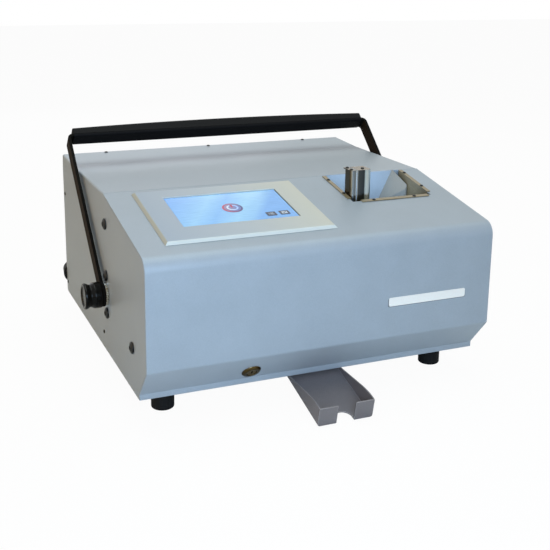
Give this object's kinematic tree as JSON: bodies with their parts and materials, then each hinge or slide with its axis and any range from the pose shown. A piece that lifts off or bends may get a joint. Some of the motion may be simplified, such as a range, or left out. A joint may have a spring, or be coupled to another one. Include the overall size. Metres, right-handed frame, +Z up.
{
  "type": "dog tag embossing machine",
  "caption": "Sheet-metal table-top machine that embosses identity tags, with a sloped touch screen lid, tag magazine, output tray, carrying handle and wheel press inside.",
  "frame": {"origin": "under the middle of the whole machine at rest, on the surface that the feet stand on", "axes": "+Z up, the front with the output tray faces -Y, +X to the right seen from the front"},
  "size_m": [0.5314, 0.545, 0.3008],
  "materials": {
    "housing_paint": "satin metallic",
    "grey_paint": "satin",
    "zinc_steel": "dull",
    "black_rubber": "matte",
    "black_steel": "satin",
    "grip_rubber": "matte",
    "black_plastic": "gloss",
    "bezel_metal": "satin",
    "display": "gloss",
    "chrome": "polished",
    "stainless": "polished",
    "tray_steel": "satin",
    "cast_iron": "matte",
    "aluminium": "satin",
    "ground_steel": "ground",
    "brass": "satin",
    "motor_paint": "matte",
    "circuit_board": "matte"
  },
  "bodies": {
    "chassis": {"side_panel_left": "housing_paint", "side_panel_right": "housing_paint", "rear_cover": "housing_paint", "rear_panel": "housing_paint", "hopper_ramp": "grey_paint", "base_plate": "zinc_steel", "frame_plate_left": "zinc_steel", "frame_plate_right": "zinc_steel", "foot_front_left": "black_rubber", "foot_front_right": "black_rubber", "foot_rear_left": "black_rubber", "foot_rear_right": "black_rubber", "bumper_left": "black_rubber", "bumper_right": "black_rubber", "drive_belt": "black_rubber", "bolt_left_top": "black_steel", "bolt_left_upper": "black_steel", "bolt_left_lower": "black_steel", "bolt_left_front": "black_steel", "bolt_right_top": "black_steel", "bolt_right_upper": "black_steel", "bolt_right_lower": "black_steel", "bolt_right_front": "black_steel", "power_inlet": "black_plastic", "pivot_stud_left": "chrome", "pivot_stud_right": "chrome", "magazine_guide_left": "stainless", "magazine_guide_right": "stainless", "output_tray": "tray_steel", "press_frame": "cast_iron", "wheel_bearing": "cast_iron", "magazine_base": "aluminium", "power_supply": "aluminium", "guide_rod": "ground_steel", "press_motor": "motor_paint", "wheel_motor": "motor_paint", "feed_motor": "motor_paint", "control_board": "circuit_board"},
    "lid": {"front_lid": "housing_paint", "hinge_arm_left": "zinc_steel", "hinge_arm_right": "zinc_steel", "screen_bezel": "bezel_metal", "touch_display": "display", "lock_barrel": "chrome", "hopper_guard_left": "stainless", "hopper_guard_front": "stainless", "hopper_guard_right": "stainless"},
    "lock": {"lock_plug": "brass"},
    "handle": {"handle_strap": "black_steel", "handle_grip": "grip_rubber"},
    "knob_left": {"clamp_knob_left": "black_plastic"},
    "knob_right": {"clamp_knob_right": "black_plastic"},
    "wheels": {"punch_wheel": "ground_steel", "die_wheel": "brass"},
    "pulley": {"motor_pulley": "aluminium"},
    "carriage": {"feed_carriage": "aluminium"},
    "screw": {"lead_screw": "ground_steel"},
    "cam": {"press_cam": "ground_steel"},
    "ram": {"press_ram": "ground_steel"},
    "rocker": {"rocker_switch": "black_plastic"}
  },
  "joints": [
    {"name": "lid_hinge", "type": "hinge", "parent": "chassis", "child": "lid", "pos_m": [0, -0.0023, 0.2365], "axis": [-1, 0, 0], "range_deg": [0, 70]},
    {"name": "lock_turn", "type": "hinge", "parent": "lid", "child": "lock", "pos_m": [-0.095, -0.19531, 0.05307], "axis": [0, 0.7627, 0.6468], "range_deg": [0, 90]},
    {"name": "handle_swing", "type": "hinge", "parent": "chassis", "child": "handle", "pos_m": [0, -0.0303, 0.1155], "axis": [1, 0, 0], "range_deg": [-5, 130]},
    {"name": "knob_left_turn", "type": "hinge", "parent": "chassis", "child": "knob_left", "pos_m": [-0.2412, -0.0303, 0.1155], "axis": [-1, 0, 0], "range_deg": [0, 360]},
    {"name": "knob_right_turn", "type": "hinge", "parent": "chassis", "child": "knob_right", "pos_m": [0.2412, -0.0303, 0.1155], "axis": [1, 0, 0], "range_deg": [0, 360]},
    {"name": "wheel_spin", "type": "hinge", "parent": "chassis", "child": "wheels", "pos_m": [-0.0055, 0.0177, 0.032], "axis": [0, 0, 1], "continuous": true},
    {"name": "pulley_spin", "type": "hinge", "parent": "chassis", "child": "pulley", "pos_m": [-0.0055, 0.1347, 0.032], "axis": [0, 0, 1], "continuous": true},
    {"name": "carriage_slide", "type": "slide", "parent": "chassis", "child": "carriage", "axis": [-1, 0, 0], "range_m": [0, 0.1065]},
    {"name": "screw_turn", "type": "hinge", "parent": "chassis", "child": "screw", "pos_m": [0.1, -0.1173, 0.112], "axis": [1, 0, 0], "range_deg": [0, 3840]},
    {"name": "cam_turn", "type": "hinge", "parent": "chassis", "child": "cam", "pos_m": [-0.0055, -0.0603, 0.1814], "axis": [0, 1, 0], "range_deg": [0, 180]},
    {"name": "ram_slide", "type": "slide", "parent": "chassis", "child": "ram", "axis": [0, 0, -1], "range_m": [0, 0.004]},
    {"name": "rocker_tip", "type": "hinge", "parent": "chassis", "child": "rocker", "pos_m": [0.1335, 0.2434, 0.094], "axis": [1, 0, 0], "range_deg": [0, 20]}
  ],
  "couplings": [
    {"joint": "pulley_spin", "follows": "wheel_spin", "ratio": 2.3333},
    {"joint": "screw_turn", "follows": "carriage_slide", "rad_per_m": 628.32},
    {"joint": "ram_slide", "follows": "cam_turn", "m_per_rad": 0.0012732}
  ]
}
